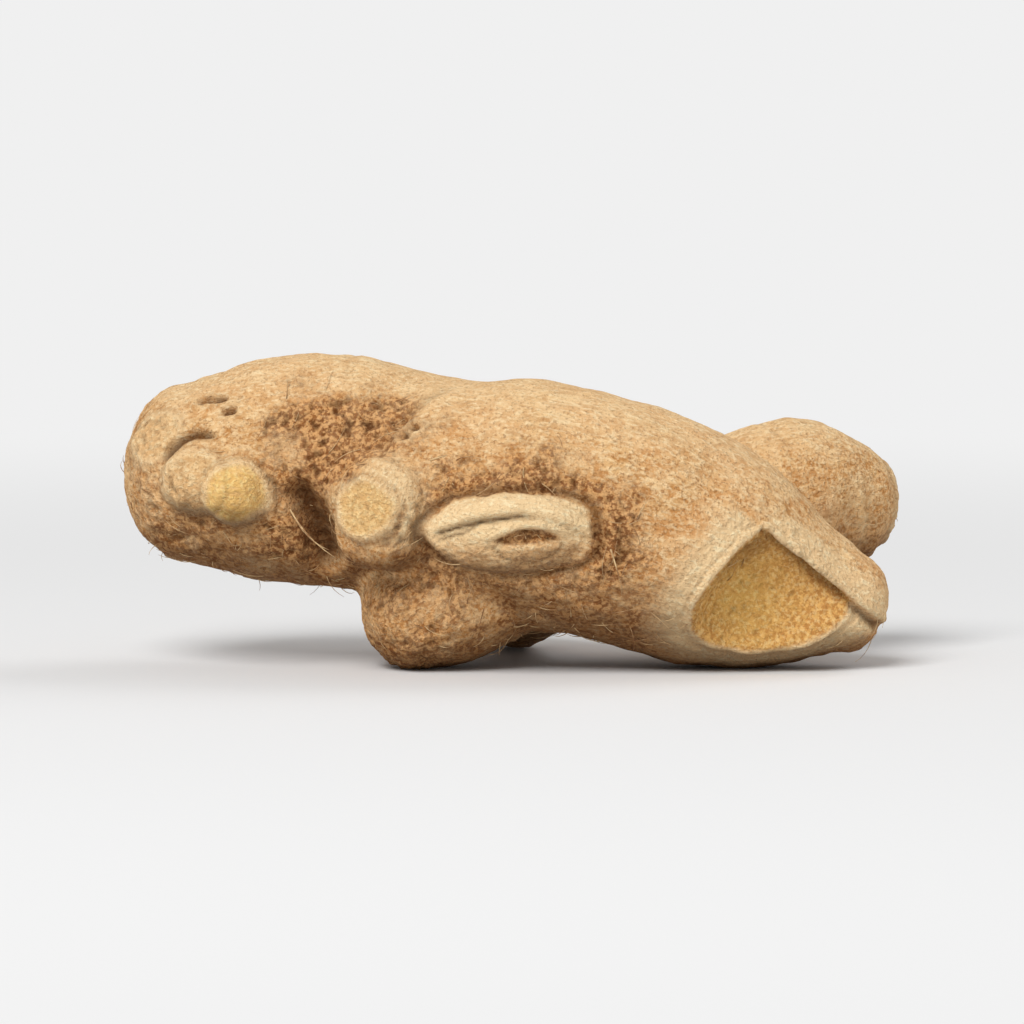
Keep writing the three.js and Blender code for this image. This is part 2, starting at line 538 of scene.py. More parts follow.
@dataclass(frozen=True)
class CutScar:
    """The slanted scar on the main finger's end, where a finger came off, with a lip of skin over it.

    The scar is a scoop: a point is on its face where the ellipsoid's measure is 1, and on the skin where it's
    more.

    Attributes:
        spot: the middle of the ellipsoid's mouth, facing out of the scar.
        sunk: how far the ellipsoid's middle is out of that place.
        length: of the ellipsoid, along.
        height: of the ellipsoid, across.
        depth: of the ellipsoid, out of the face.
        lip_at: a place on the lip's slope.
        lip_slope: the slope, in degrees down from the level towards +X.
        curl_at: the small curl of skin at the top of the lip.
        yellow_at: the middle of the yellow part of the face.
    """

    spot: Spot
    sunk: float
    length: float
    height: float
    depth: float
    lip_at: tuple[float, float, float]
    lip_slope: float
    curl_at: tuple[float, float, float] = (0.872, 0.16, 0.46)
    yellow_at: tuple[float, float, float] = (0.792, 0.2, 0.25)

    def measure(self, skin: Surface, box: Box) -> tuple[Array, Array]:
        """How far out of the scoop each point is, in millimetres, and how far above the lip's slope.

        Args:
            skin: the skin as it is so far.
            box: the CAD box.

        Returns:
            The two distances.
        """
        u, v, w = self.spot.local(skin.points, box)
        halves = np.array([self.length, self.height, self.depth]) / 2.0
        scaled = np.stack([u, v, w - self.sunk], 1) / halves
        value = np.linalg.norm(scaled, axis=1)
        slope = math.radians(self.lip_slope)
        above = (skin.points - box.at(self.lip_at)) @ np.array([math.sin(slope), 0.0, math.cos(slope)])
        steep = np.linalg.norm(scaled / halves, axis=1) / np.maximum(value, 0.05)
        return (value - 1.0) / np.maximum(steep, 0.02), above

    def front(self, skin: Surface, box: Box) -> Array:
        """1 on the front of the finger and 0 on its back."""
        return 1.0 - fade(skin.points[:, 1], box.at((0, 0.28, 0))[1], box.at((0, 0.42, 0))[1])

    def face(self, skin: Surface, box: Box) -> Array:
        """1 on the scar's face and 0 off it."""
        out, above = self.measure(skin, box)
        return (1.0 - fade(out, 0.15, 0.5)) * (1.0 - fade(above, -0.35, 0.1)) * self.front(skin, box)

    def relief(self, skin: Surface, box: Box) -> Array:
        """The rim, its wrinkles, the lip and the face.

        The rim is a bell just outside the edge, and the wrinkles past it a cosine of the distance from it.
        The lip is raised above its slope, and a hollow under it runs on to the finger's tip.

        Args:
            skin: the skin as it is so far.
            box: the CAD box.

        Returns:
            The height at each point, in millimetres.
        """
        out, above = self.measure(skin, box)
        front = self.front(skin, box)
        face = self.face(skin, box)
        off = (1.0 - fade(above, -0.8, 0.2)) * front * (1.0 - face)
        wobble = 0.45 * noise(skin.points, 3.5, 12)
        rim = bell(out - 0.7, 0.45) * off
        band = bell(out - 2.4, 2.6) * off
        folds = np.cos((out + wobble) * math.tau / 1.05) * bell(out - 2.2, 1.7) * off
        beyond = fade(skin.points[:, 0], box.at((0.84, 0, 0))[0], box.at((0.89, 0, 0))[0]) * front
        edge = np.maximum(1.0 - fade(out, 0.4, 1.6), beyond) * front
        lip = bell(above - 0.35, 0.42) * edge
        shade = bell(above + 0.45, 0.3) * (1.0 - fade(out, 0.3, 0.8)) * front
        under = bell(above + 0.75, 0.6) * beyond * (1.0 - 0.6 * face)
        strip = fade(above, -0.1, 0.3) * (1.0 - fade(above + wobble, 2.4, 4.6)) * edge
        curl = bell(skin.away(skin.nearest(box.at(self.curl_at))) - 1.25, 0.35)
        from_yellow = skin.away(skin.nearest(box.at(self.yellow_at)))
        yellow = bell(from_yellow + 1.5 * noise(skin.points, 3.0, 15), 6.0)
        skin.add_paint(Paint.FLESH, face)
        skin.add_paint(Paint.SCAR, 0.9 * yellow * face)
        skin.add_paint(Paint.PALE_AND_LIT, np.maximum(rim, np.maximum(0.95 * band, 0.6 * curl)))
        skin.add_paint(Paint.PALE_AND_LIT, np.maximum(0.75 * strip, lip))
        last_fold = 0.15 * bell(out - 3.9, 0.3) * off
        # Painted shade in the hollow under the lip, in a line along the lip's edge and in the last fold.
        skin.add_paint(Paint.DARK, np.maximum(np.maximum(0.8 * under, 0.6 * shade), last_fold))
        rough = 0.2 * noise(skin.points, 1.2, 13) + 0.14 * noise(skin.points, 0.75, 14)
        return 0.34 * rim + 0.13 * folds + 0.5 * lip - 0.35 * shade + 0.25 * curl - 1.0 * under + face * rough


@dataclass(frozen=True)
class CorkPatch:
    """A patch of rough brown skin, fading over its radius.

    Attributes:
        centre: its middle.
        radius: where it ends.
        amount: how brown it is.
        dark: how dark the crumbs in it are.
    """

    centre: tuple[float, float, float]
    radius: float
    amount: float = 1.0
    dark: float = 0.0

    def relief(self, skin: Surface, box: Box) -> Array:
        """Paints a smooth step of the distance from the middle, broken up by noise.

        Args:
            skin: the skin as it is so far.
            box: the CAD box.

        Returns:
            No height, at any point.
        """
        half = self.radius * 0.5
        broken = skin.away(box.at(self.centre)) + half * noise(skin.points, half, 21)
        spread = 1.0 - fade(broken, self.radius * 0.3, self.radius)
        skin.add_paint(Paint.CORK_AND_SHADE, self.amount * spread)
        skin.add_paint(Paint.DARK, self.dark * spread * fade(noise(skin.points, 1.1, 22), -0.2, 0.3))
        return np.zeros(len(skin.points))


@dataclass(frozen=True)
class Pits:
    """Small holes in the skin, each a bell, with a raised edge.

    Attributes:
        places: their middles.
        radius: of each.
        depth: of each.
    """

    places: Line
    radius: float = 0.6
    depth: float = 0.9

    def relief(self, skin: Surface, box: Box) -> Array:
        """The depth at each hole: a bell of the distance from its middle, which is longer than it is high.

        Args:
            skin: the skin as it is so far.
            box: the CAD box.

        Returns:
            The height at each point, in millimetres.
        """
        height = np.zeros(len(skin.points))
        for place in self.places:
            away = (skin.points - skin.nearest(box.at(place))) * np.array([0.6, 0.8, 1.2])
            distance = np.linalg.norm(away, axis=1) + 0.35 * noise(skin.points, 1.3, 31)
            edge = bell(distance - self.radius * 1.7, 0.4)
            height += 0.25 * edge - self.depth * bell(distance, self.radius)
            # Painted shade in the hole.
            skin.add_paint(Paint.DARK, 0.95 * bell(distance, self.radius * 0.9))
            skin.add_paint(Paint.PALE_AND_LIT, 0.4 * edge)
        return height


@dataclass(frozen=True)
class RootletMarks:
    """The small round marks that rootlets leave, mostly on the underside and the back.

    Attributes:
        count: how many.
        radius: of a middling one.
        seed: which places they take.
    """

    count: int = 60
    radius: float = 0.8
    seed: int = 5

    def relief(self, skin: Surface, box: Box) -> Array:
        """Each mark: a raised ring, a bell round its radius, with a dimple, a bell at its middle.

        Args:
            skin: the skin as it is so far.
            box: the CAD box.

        Returns:
            The height at each point, in millimetres.
        """
        random = np.random.default_rng(self.seed)
        out = skin.normals()
        chance = fade(0.5 * out[:, 1] - out[:, 2], -0.25, 0.8) + 0.02
        picked = random.choice(len(skin.points), self.count, replace=False, p=chance / chance.sum())
        height = np.zeros(len(skin.points))
        for middle, scale in zip(skin.points[picked], random.uniform(0.6, 1.4, self.count)):
            radius = self.radius * scale
            distance = skin.away(middle)
            dimple = bell(distance, radius * 0.5)
            height += 0.2 * scale * bell(distance - radius, 0.42) - 0.35 * scale * dimple
            # Painted shade in the dimple.
            skin.add_paint(Paint.DARK, 0.6 * bell(distance, radius * 0.45))
            skin.add_paint(Paint.PALE_AND_LIT, 0.3 * bell(distance - radius, 0.4))
        return height


# ---------------------------------------------------------------- shading


def colour(red: int, green: int, blue: int) -> tuple[float, float, float, float]:
    """A colour as it looks on a screen, from 0 to 255, as the light that it stands for.

    Args:
        red: from 0 to 255.
        green: from 0 to 255.
        blue: from 0 to 255.

    Returns:
        The colour, with an alpha of 1.
    """
    shares = (channel / 255.0 for channel in (red, green, blue))
    light = (share / 12.92 if share <= 0.04045 else ((share + 0.055) / 1.055) ** 2.4 for share in shares)
    return (*light, 1.0)


class Nodes:
    """Adds nodes to one tree. An input given as a socket is linked, and any other is set."""

    def __init__(self, tree: bpy.types.NodeTree) -> None:
        """Takes the tree and clears it."""
        self.tree = tree
        tree.nodes.clear()

    def fill(self, node: bpy.types.Node, inputs: dict[str | int, object]) -> None:
        """Links or sets a node's inputs, by name or number."""
        for name, value in inputs.items():
            if isinstance(value, Socket):
                self.tree.links.new(value, node.inputs[name])
            else:
                node.inputs[name].default_value = value

    def add(
        self, kind: str, inputs: dict[str | int, object] | None = None, **settings: object
    ) -> bpy.types.Node:
        """Adds one node.

        Args:
            kind: the node's type.
            inputs: what each input gets, by name or number.
            settings: the node's own settings.

        Returns:
            The node.
        """
        node = self.tree.nodes.new(kind)
        for name, value in settings.items():
            setattr(node, name, value)
        self.fill(node, inputs or {})
        return node

    def mix(self, share: Socket | float, first: object, second: object) -> Socket:
        """A colour between two, by the share of the second."""
        return self.add("ShaderNodeMix", {0: share, 6: first, 7: second}, data_type="RGBA").outputs[2]

    def between(self, share: Socket, first: Socket, second: Socket) -> Socket:
        """A number between two, by the share of the second."""
        return self.add("ShaderNodeMix", {0: share, 2: first, 3: second}, data_type="FLOAT").outputs[0]

    def sum(self, way: str, first: Socket | float, second: Socket | float) -> Socket:
        """One step of arithmetic on two numbers."""
        return self.add("ShaderNodeMath", {0: first, 1: second}, operation=way).outputs[0]

    def step(self, value: Socket, start: float, end: float, low: float = 0.0, high: float = 1.0) -> Socket:
        """A smooth step from low to high as the value goes from start to end."""
        inputs = {"Value": value, "From Min": start, "From Max": end, "To Min": low, "To Max": high}
        return self.add("ShaderNodeMapRange", inputs, interpolation_type="SMOOTHSTEP").outputs[0]

    def painted(self, kind: Paint) -> Socket:
        """What is painted on the skin."""
        return self.add("ShaderNodeAttribute", attribute_name=kind.value).outputs["Fac"]

    def group(self, tree: bpy.types.NodeTree, inputs: dict[str, object]) -> bpy.types.Node:
        """Places a shared node group.

        Args:
            tree: the shared group.
            inputs: what each input gets, by name.

        Returns:
            The node.
        """
        node = self.tree.nodes.new("ShaderNodeGroup")
        node.node_tree = tree
        self.fill(node, inputs)
        return node


def speckle_group() -> bpy.types.NodeTree:
    """The shared speckle: noise of one size, as it is and cut to spots between two levels.

    Returns:
        The node group.
    """
    tree = bpy.data.node_groups.new("speckle", "ShaderNodeTree")
    nodes = Nodes(tree)
    tree.interface.new_socket("Vector", in_out="INPUT", socket_type="NodeSocketVector")
    for name, value in (("Scale", 1.0), ("Detail", 3.0), ("Start", 0.45), ("End", 0.6)):
        socket = tree.interface.new_socket(name, in_out="INPUT", socket_type="NodeSocketFloat")
        socket.default_value = value
    for name in ("Spots", "Level"):
        tree.interface.new_socket(name, in_out="OUTPUT", socket_type="NodeSocketFloat")
    given = nodes.add("NodeGroupInput").outputs
    noisy = {"Vector": given["Vector"], "Scale": given["Scale"], "Detail": given["Detail"], "Roughness": 0.6}
    level = nodes.add("ShaderNodeTexNoise", noisy).outputs[0]
    cut = {"Value": level, "From Min": given["Start"], "From Max": given["End"]}
    spots = nodes.add("ShaderNodeMapRange", cut, interpolation_type="SMOOTHSTEP").outputs[0]
    nodes.add("NodeGroupOutput", {"Spots": spots, "Level": level})
    return tree


def new_material(name: str) -> tuple[bpy.types.Material, Nodes]:
    """A new material and its cleared nodes.

    Args:
        name: the material's name.

    Returns:
        The material, and what adds nodes to it.
    """
    material = bpy.data.materials.new(name)
    material.use_nodes = True
    return material, Nodes(material.node_tree)


@dataclass(frozen=True)
class SkinFinish:
    """Dry ginger skin: matt and grainy, with fine fibres along each finger, and what is painted on it."""

    deep: Colour = (190, 135, 78)
    middle: Colour = (224, 180, 125)
    light: Colour = (247, 219, 172)
    speck: Colour = (140, 88, 44)
    rosy: Colour = (210, 150, 92)
    cork: Colour = (128, 73, 32)
    cork_light: Colour = (216, 163, 106)
    pale: Colour = (246, 224, 180)
    pale_shade: Colour = (238, 206, 158)
    scar: Colour = (243, 208, 128)
    scar_ring: Colour = (232, 184, 100)
    flesh: Colour = (224, 174, 103)
    flesh_deep: Colour = (192, 136, 74)
    flesh_light: Colour = (240, 206, 146)
    # the colour of the painted shade, and of the dark cork crumbs
    crease: Colour = (68, 34, 8)
    roughness: float = 0.84
    bump: float = 0.00026  # metres

    def material(self, speckle: bpy.types.NodeTree) -> bpy.types.Material:
        """Builds the material, from the large patches to the fine grains, and then the paint over them.

        Args:
            speckle: the shared speckle group.

        Returns:
            The material.
        """
        material, nodes = new_material("ginger_skin")
        place = nodes.add("ShaderNodeTexCoord").outputs["Object"]
        grain = nodes.add("ShaderNodeAttribute", attribute_name="grain").outputs["Vector"]
        border = nodes.add("ShaderNodeAttribute", attribute_name="border").outputs["Fac"]

        def spots(
            vector: Socket, per_unit: float, start: float, end: float, detail: float = 3.0
        ) -> list[Socket]:
            """The speckle group's two outputs at one size."""
            inputs = {"Vector": vector, "Scale": per_unit, "Detail": detail, "Start": start, "End": end}
            return list(nodes.group(speckle, inputs).outputs)

        def fibrous(per_unit: float, start: float, end: float, detail: float) -> list[Socket]:
            """Spots that are long along the finger, and round where two fingers meet.

            Args:
                per_unit: how many spots there are to a millimetre.
                start: the level where a spot starts.
                end: the level where it is whole.
                detail: how ragged its edge is.

            Returns:
                The speckle group's two outputs.
            """
            long = spots(grain, per_unit, start, end, detail)
            short = spots(place, per_unit * METRE, start, end, detail)
            return [nodes.between(border, first, second) for first, second in zip(long, short)]

        def layer(under: object, mask: Socket, share: float, over: object) -> Socket:
            """One colour over another, where the mask is, at a share of it."""
            tone = over if isinstance(over, Socket) else colour(*over)
            return nodes.mix(nodes.sum("MULTIPLY", mask, share), under, tone)

        patches = spots(place, 60.0, 0.40, 0.64)
        streaks = fibrous(0.32, 0.46, 0.62, 3.0)
        blotches = spots(place, 260.0, 0.42, 0.66)
        fibres, fibre_level = fibrous(1.05, 0.40, 0.60, 4.0)
        fine, fine_level = fibrous(1.9, 0.50, 0.64, 3.0)
        grains = spots(place, 1750.0, 0.50, 0.62, 2.0)
        specks = spots(place, 2300.0, 0.55, 0.66, 2.0)
        base = nodes.mix(fibres, colour(*self.deep), colour(*self.middle))
        base = layer(base, patches[0], 0.35, self.rosy)
        base = layer(base, streaks[0], 0.40, self.rosy)
        base = layer(base, blotches[0], 0.30, self.light)
        base = layer(base, fine, 0.50, self.light)
        base = layer(base, grains[0], 0.36, self.light)
        base = layer(base, specks[0], 0.52, self.speck)

        crumbs = spots(place, 1650.0, 0.42, 0.58, 3.0)
        cork_tone = nodes.mix(crumbs[0], colour(*self.cork), colour(*self.cork_light))
        # Brown cork, partly painted shade underneath and in wide hollows.
        base = layer(base, nodes.painted(Paint.CORK_AND_SHADE), 0.85, cork_tone)
        pale_tone = nodes.mix(fine, colour(*self.pale_shade), colour(*self.pale))
        pale_tone = layer(pale_tone, specks[0], 0.25, self.speck)
        # Cream rims, and painted light on the upward faces.
        base = layer(base, nodes.painted(Paint.PALE_AND_LIT), 0.95, pale_tone)
        scar_tone = nodes.mix(grains[0], colour(*self.scar_ring), colour(*self.scar))
        flesh_tone = nodes.mix(crumbs[0], colour(*self.flesh_deep), colour(*self.flesh))
        flesh_tone = layer(flesh_tone, grains[0], 0.5, self.flesh_light)
        flesh_tone = layer(flesh_tone, specks[0], 0.5, self.flesh_deep)
        base = layer(base, nodes.painted(Paint.FLESH), 1.0, flesh_tone)
        yellow = nodes.step(fine_level, 0.35, 0.6, 0.55, 1.0)
        yellow = nodes.sum("MULTIPLY", nodes.painted(Paint.SCAR), yellow)
        base = layer(base, yellow, 0.85, scar_tone)
        # Painted shade, and the dark cork crumbs.
        base = layer(base, nodes.painted(Paint.DARK), 0.88, self.crease)

        height = nodes.sum("ADD", fine_level, nodes.sum("ADD", grains[1], specks[1]))
        height = nodes.sum("ADD", height, fibre_level)
        raised = {"Strength": 1.0, "Distance": self.bump, "Height": height}
        bump = nodes.add("ShaderNodeBump", raised).outputs[0]
        rough = nodes.step(fibre_level, 0.3, 0.7, self.roughness + 0.1, self.roughness - 0.12)
        inputs = {"Base Color": base, "Roughness": rough, "Specular IOR Level": 0.1, "Normal": bump}
        shader = nodes.add("ShaderNodeBsdfPrincipled", inputs).outputs[0]
        nodes.add("ShaderNodeOutputMaterial", {"Surface": shader})
        return material


@dataclass(frozen=True)
class HairFinish:
    """Dry root hairs: pale straw, browner in places."""

    straw: Colour = (214, 182, 134)
    brown: Colour = (142, 98, 58)

    def material(self, speckle: bpy.types.NodeTree) -> bpy.types.Material:
        """Builds the material with the shared speckle group.

        Args:
            speckle: the shared speckle group.

        Returns:
            The material.
        """
        material, nodes = new_material("root_hair")
        place = nodes.add("ShaderNodeTexCoord").outputs["Object"]
        patches = nodes.group(speckle, {"Vector": place, "Scale": 300.0, "Start": 0.4, "End": 0.62}).outputs
        tone = nodes.mix(patches["Spots"], colour(*self.straw), colour(*self.brown))
        bump = nodes.add("ShaderNodeBump", {"Distance": 0.00004, "Height": patches["Level"]}).outputs[0]
        rough = nodes.step(patches["Level"], 0.3, 0.7, 0.75, 0.9)
        inputs = {"Base Color": tone, "Roughness": rough, "Normal": bump}
        shader = nodes.add("ShaderNodeBsdfPrincipled", inputs).outputs[0]
        nodes.add("ShaderNodeOutputMaterial", {"Surface": shader})
        return material


# ---------------------------------------------------------------- the root


MAIN = Finger(
    ((0.405, 0.368, 0.588), (0.537, 0.368, 0.527), (0.761, 0.368, 0.356), (0.931, 0.368, 0.23)),
    15.0,
    (27.0, 41.0),
)
LEFT = Finger(((0.463, 0.432, 0.574), (0.308, 0.485, 0.616), (0.084, 0.515, 0.622)), 14.5, (17.0, 31.0, 38.0))
REAR = Finger(((0.64, 0.473, 0.467), (0.77, 0.633, 0.486), (0.938, 0.806, 0.494)), 9.4, (21.0, 33.0))
BACK = Finger(((0.537, 0.368, 0.386), (0.494, 0.897, 0.166)), 8.3, (17.0, 23.0))
STUB = Finger(((0.473, 0.384, 0.288), (0.359, 0.341, 0.175)), 9.2)
KNOB = Finger(((0.379, 0.464, 0.545), (0.33, 0.139, 0.53)), 7.2)


@dataclass
class GingerSkin:
    """The whole skin of the root, made from the CAD solid.

    Attributes:
        voxel: the size of the even mesh that the solid is turned into.
        fingers: the fingers, for the way that fibres run.
        fibre_stretch: how many times longer than wide a fibre is.
        pattern_shift: how far apart the fibres of two fingers are taken, in the pattern.
        box: the CAD box.
        cut: the scar on the main finger.
        eye: the long bud.
        scars: the round scars. The first few are the buds whose shape the softening leaves alone.
        kept_buds: how many those are.
        grooves: the folds over the end buds, the gap beside the knob and the valley above it, with painted
            shade in them.
        cork: the rough brown patches; the one in the gap beside the knob also carries painted shade.
        pits: the small holes.
        marks: what rootlets left.
    """

    voxel: float = 0.425
    fingers: tuple[Finger, ...] = (MAIN, LEFT, REAR, BACK, STUB, KNOB)
    fibre_stretch: float = 2.2
    pattern_shift: float = 17.0
    box: Box = field(default_factory=cad_box)
    cut: CutScar = CutScar(
        Spot((0.870, 0.164, 0.260), -89.4, 2.9, 32.0), 2.8, 33.0, 20.0, 13.0, (0.830, 0.368, 0.453), 40.0
    )
    eye: EyeBud = EyeBud(Spot((0.495, 0.017, 0.455), -92.0, -12.0, 2.0))
    scars: tuple[RoundScar, ...] = (
        RoundScar(Spot((0.313, 0.045, 0.545), -117.0, 2.0), 3.9, 0.5, 0.13, 0.3, 0.45, 0.15, 0.12),
        RoundScar(Spot((0.097, 0.232, 0.612), -98.0, -2.0), 4.1, 0.0, 0.1, 0.1, 0.1, 0.9),
        RoundScar(Spot((0.149, 0.185, 0.580), -93.0, -4.0), 4.0, 0.0, 0.03, 0.1, 0.85, 1.1),
        RoundScar(Spot((0.046, 0.355, 0.745), -112.0, 28.0), 3.6, 0.3, 0.14, 0.2, 0.1),
        RoundScar(Spot((0.985, 0.88, 0.48), 26.0, -6.0), 5.6, 0.5, 0.12, 0.3, 0.0),
        RoundScar(Spot((0.485, 0.985, 0.145), 100.0, -14.0), 4.6, 0.5, 0.12, 0.3, 0.4),
        RoundScar(Spot((0.260, 0.79, 0.620), 92.0, 5.0), 3.6, 0.1, 0.12, 0.25, 0.2, 1.1),
        RoundScar(Spot((0.550, 0.58, 0.830), 95.0, 50.0), 2.7, 0.1, 0.1, 0.2, 0.1, 0.7),
        RoundScar(Spot((0.120, 0.70, 0.410), 110.0, -35.0), 2.9, 0.1, 0.1, 0.2, 0.1, 0.8),
    )
    kept_buds: int = 3
    grooves: tuple[Groove, ...] = (
        Groove(Spot((0.090, 0.263, 0.700), -98.0, 8.0, 26.0), 9.5, 2.0, 0.6, 1.0, 0.95),
        Groove(Spot((0.197, 0.2, 0.56), -86.0, -5.0, -76.0), 6.5, 1.2, 0.45, 0.6, 0.6),
        # The gap beside the knob: painted shade in a wide groove.
        Groove(Spot((0.246, 0.23, 0.45), -80.0, -12.0, -70.0), 17.0, 0.8, 1.9, 2.6, 1.0),
        Groove(Spot((0.375, 0.2, 0.86), -80.0, 40.0, 42.0), 15.0, 1.0, 0.8, 0.45, 0.3),
    )
    cork: tuple[CorkPatch, ...] = (
        CorkPatch((0.265, 0.24, 0.72), 11.0, 0.95),
        CorkPatch((0.345, 0.22, 0.80), 8.0, 0.8),
        CorkPatch((0.42, 0.10, 0.62), 6.0, 0.7),
        CorkPatch((0.52, 0.07, 0.61), 9.0, 0.9),
        CorkPatch((0.63, 0.07, 0.47), 8.0, 1.0),
        CorkPatch((0.56, 0.08, 0.31), 7.0, 0.7),
        CorkPatch((0.612, 0.05, 0.44), 5.5, 1.0, 0.8),
        CorkPatch((0.53, 0.05, 0.585), 5.5, 1.0, 0.75),
        CorkPatch((0.09, 0.27, 0.42), 10.0, 0.75),
        CorkPatch((0.0, 0.35, 0.6), 13.0, 0.4),
        CorkPatch((0.21, 0.22, 0.43), 8.0, 1.0),
        # Painted shade in the gap beside the knob, over brown cork.
        CorkPatch((0.268, 0.21, 0.36), 7.5, 1.0, 1.0),
        CorkPatch((0.40, 0.12, 0.30), 9.0, 0.8),
        CorkPatch((0.55, 0.60, 0.60), 11.0, 0.6),
        CorkPatch((0.72, 0.62, 0.30), 10.0, 0.6),
        CorkPatch((0.99, 0.84, 0.42), 8.0, 0.6),
        CorkPatch((0.37, 0.28, 0.13), 12.0, 0.8),
    )
    pits: Pits = Pits(
        (
            (0.105, 0.329, 0.890),
            (0.124, 0.329, 0.884),
            (0.140, 0.292, 0.84),
            (0.350, 0.15, 0.80),
            (0.366, 0.15, 0.83),
        )
    )
    marks: RootletMarks = RootletMarks()

    def even_mesh(self) -> Surface:
        """The CAD solid's copy, merged and turned into an even mesh, in millimetres.

        Returns:
            The even surface.
        """
        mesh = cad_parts["ginger_root"].data.copy()
        mesh.transform(Matrix.Scale(METRE, 4))
        solid = bpy.data.objects.new("solid", mesh)
        bpy.context.scene.collection.objects.link(solid)
        solid.modifiers.new("merge", "WELD").merge_threshold = 0.001
        remesh = solid.modifiers.new("even", "REMESH")
        remesh.mode = "VOXEL"
        remesh.voxel_size = self.voxel
        even = bpy.data.meshes.new_from_object(solid.evaluated_get(bpy.context.evaluated_depsgraph_get()))
        surface = Surface(even)
        bpy.data.objects.remove(solid)
        bpy.data.meshes.remove(even)
        return surface

    def soften(self, skin: Surface) -> None:
        """Takes the facets off, and rounds the creases between fingers, but not the cut or the buds.

        Args:
            skin: the skin as it is so far.
        """
        out, above = self.cut.measure(skin, self.box)
        beyond = skin.points[:, 0] > self.box.at((0.7, 0, 0))[0]
        near_cut = bell(np.maximum(out, 0.0), 1.6) * beyond * self.cut.front(skin, self.box)
        skin.relax(16, 1.0 - 0.85 * near_cut)
        kept = near_cut
        for bud in self.scars[: self.kept_buds]:
            distance = skin.away(self.box.at(bud.spot.centre))
            kept = np.maximum(kept, 0.9 * (1.0 - fade(distance, bud.radius * 1.6, bud.radius * 2.4)))
        crease = fade(skin.hollow(40), 0.05, 0.25) * (1.0 - kept)
        skin.relax(70, np.minimum(1.4 * skin.smoothed(crease, 8), 1.0) * (1.0 - kept))

    def owners(self, skin: Surface) -> tuple[list[Array], Array]:
        """Measures the skin along every finger.

        Args:
            skin: the skin as it is so far.

        Returns:
            The places along each finger, and a row of weights for each, which sum to 1 at each point.
        """
        measured = [finger.measure(skin.points, self.box) for finger in self.fingers]
        apart = np.stack([distance for _, distance in measured])
        weights = np.exp((apart.min(axis=0) - apart) / 0.06)
        return [own for own, _ in measured], weights / weights.sum(axis=0)

    def wrinkles(self, skin: Surface) -> Array:
        """The skin's own relief: long fibres, leaf rings and rough cork.

        Fibres are noise on places along a finger that are squeezed by the stretch. A leaf ring is a ridge, a
        bell at its place along the finger, with a groove beside it, and is twice as high on the back. Cork is
        crumbs: noise of two sizes, with painted shade in the hollows between them.

        Args:
            skin: the skin as it is so far.

        Returns:
            The height at each point, in millimetres.
        """
        places, weights = self.owners(skin)
        height = np.zeros(len(skin.points))
        behind = 0.5 + 0.5 * fade(skin.points[:, 1], self.box.at((0, 0.4, 0))[1], self.box.at((0, 0.7, 0))[1])
        for index, (finger, own, weight) in enumerate(zip(self.fingers, places, weights)):
            squeezed = own / np.array([self.fibre_stretch, 1.0, 1.0])
            fibres = 0.13 * noise(squeezed, 1.6, 40 + index) + 0.10 * noise(squeezed, 0.9, 50 + index)
            rings = np.zeros(len(height))
            for place in finger.rings:
                along = own[:, 0] - place + 1.3 * noise(skin.points, 9.0, 60 + index)
                strength = behind * (0.2 + 0.8 * fade(noise(skin.points, 14.0, 70 + index), -0.2, 0.5))
                rings += strength * (0.2 * bell(along, 0.6) - 0.18 * bell(along - 1.0, 0.5))
                skin.add_paint(Paint.PALE_AND_LIT, 0.25 * weight * strength * bell(along, 0.6))
                skin.add_paint(Paint.CORK_AND_SHADE, 0.3 * weight * strength * bell(along - 1.0, 0.7))
            height += weight * (fibres + rings)
        cork = skin.paint[Paint.CORK_AND_SHADE]
        crumbs = 0.34 * noise(skin.points, 1.5, 80) + 0.4 * noise(skin.points, 0.85, 81)
        # Painted shade in the hollows between the crumbs.
        skin.add_paint(Paint.DARK, 0.85 * cork * fade(-crumbs, 0.05, 0.28))
        smooth = np.maximum(skin.paint[Paint.SCAR], skin.paint[Paint.FLESH])
        return height * (1.0 - 0.75 * smooth) + cork * crumbs

    def lumps(self, skin: Surface) -> Array:
        """The large unevenness: noise of two sizes, and little on the scar's face."""
        calm = 1.0 - 0.8 * self.cut.face(skin, self.box)
        return calm * (0.5 * noise(skin.points, 13.0, 1) + 0.25 * noise(skin.points, 5.5, 2))

    def settle(self, skin: Surface) -> None:
        """Keeps the skin off the floor: below the gap's height a point comes up to it."""
        skin.points[:, 2] = np.maximum(skin.points[:, 2], FLOOR_GAP)

    def cork_and_painted_light(self, skin: Surface) -> None:
        """Paints cork and painted shade in wide hollows and underneath, painted shade in narrow hollows
        and where the skin faces most down, and painted light on the top, which comes out pale.

        Args:
            skin: the skin as it is so far.
        """
        wide = skin.smoothed(fade(skin.hollow(60), 0.08, 0.45), 6)
        narrow = fade(skin.hollow(8), 0.05, 0.2)
        rise = skin.smoothed(skin.normals(), 8)[:, 2]
        under = fade(-rise, 0.0, 0.65)
        underside_shade = fade(-rise, 0.25, 0.85)
        # Painted light: the faces that look up are painted paler.
        skin.add_paint(Paint.PALE_AND_LIT, 0.45 * fade(rise, 0.45, 0.95) * (1.0 - skin.paint[Paint.CORK_AND_SHADE]))
        # Brown in wide hollows and underneath: partly cork, partly painted shade.
        broken = 0.7 + 0.6 * noise(skin.points, 2.5, 90)
        skin.add_paint(Paint.CORK_AND_SHADE, np.maximum(0.9 * wide, under) * broken)
        # Painted shade in narrow hollows and on the faces that look most down.
        skin.add_paint(Paint.DARK, np.maximum(0.45 * narrow, 0.75 * underside_shade))

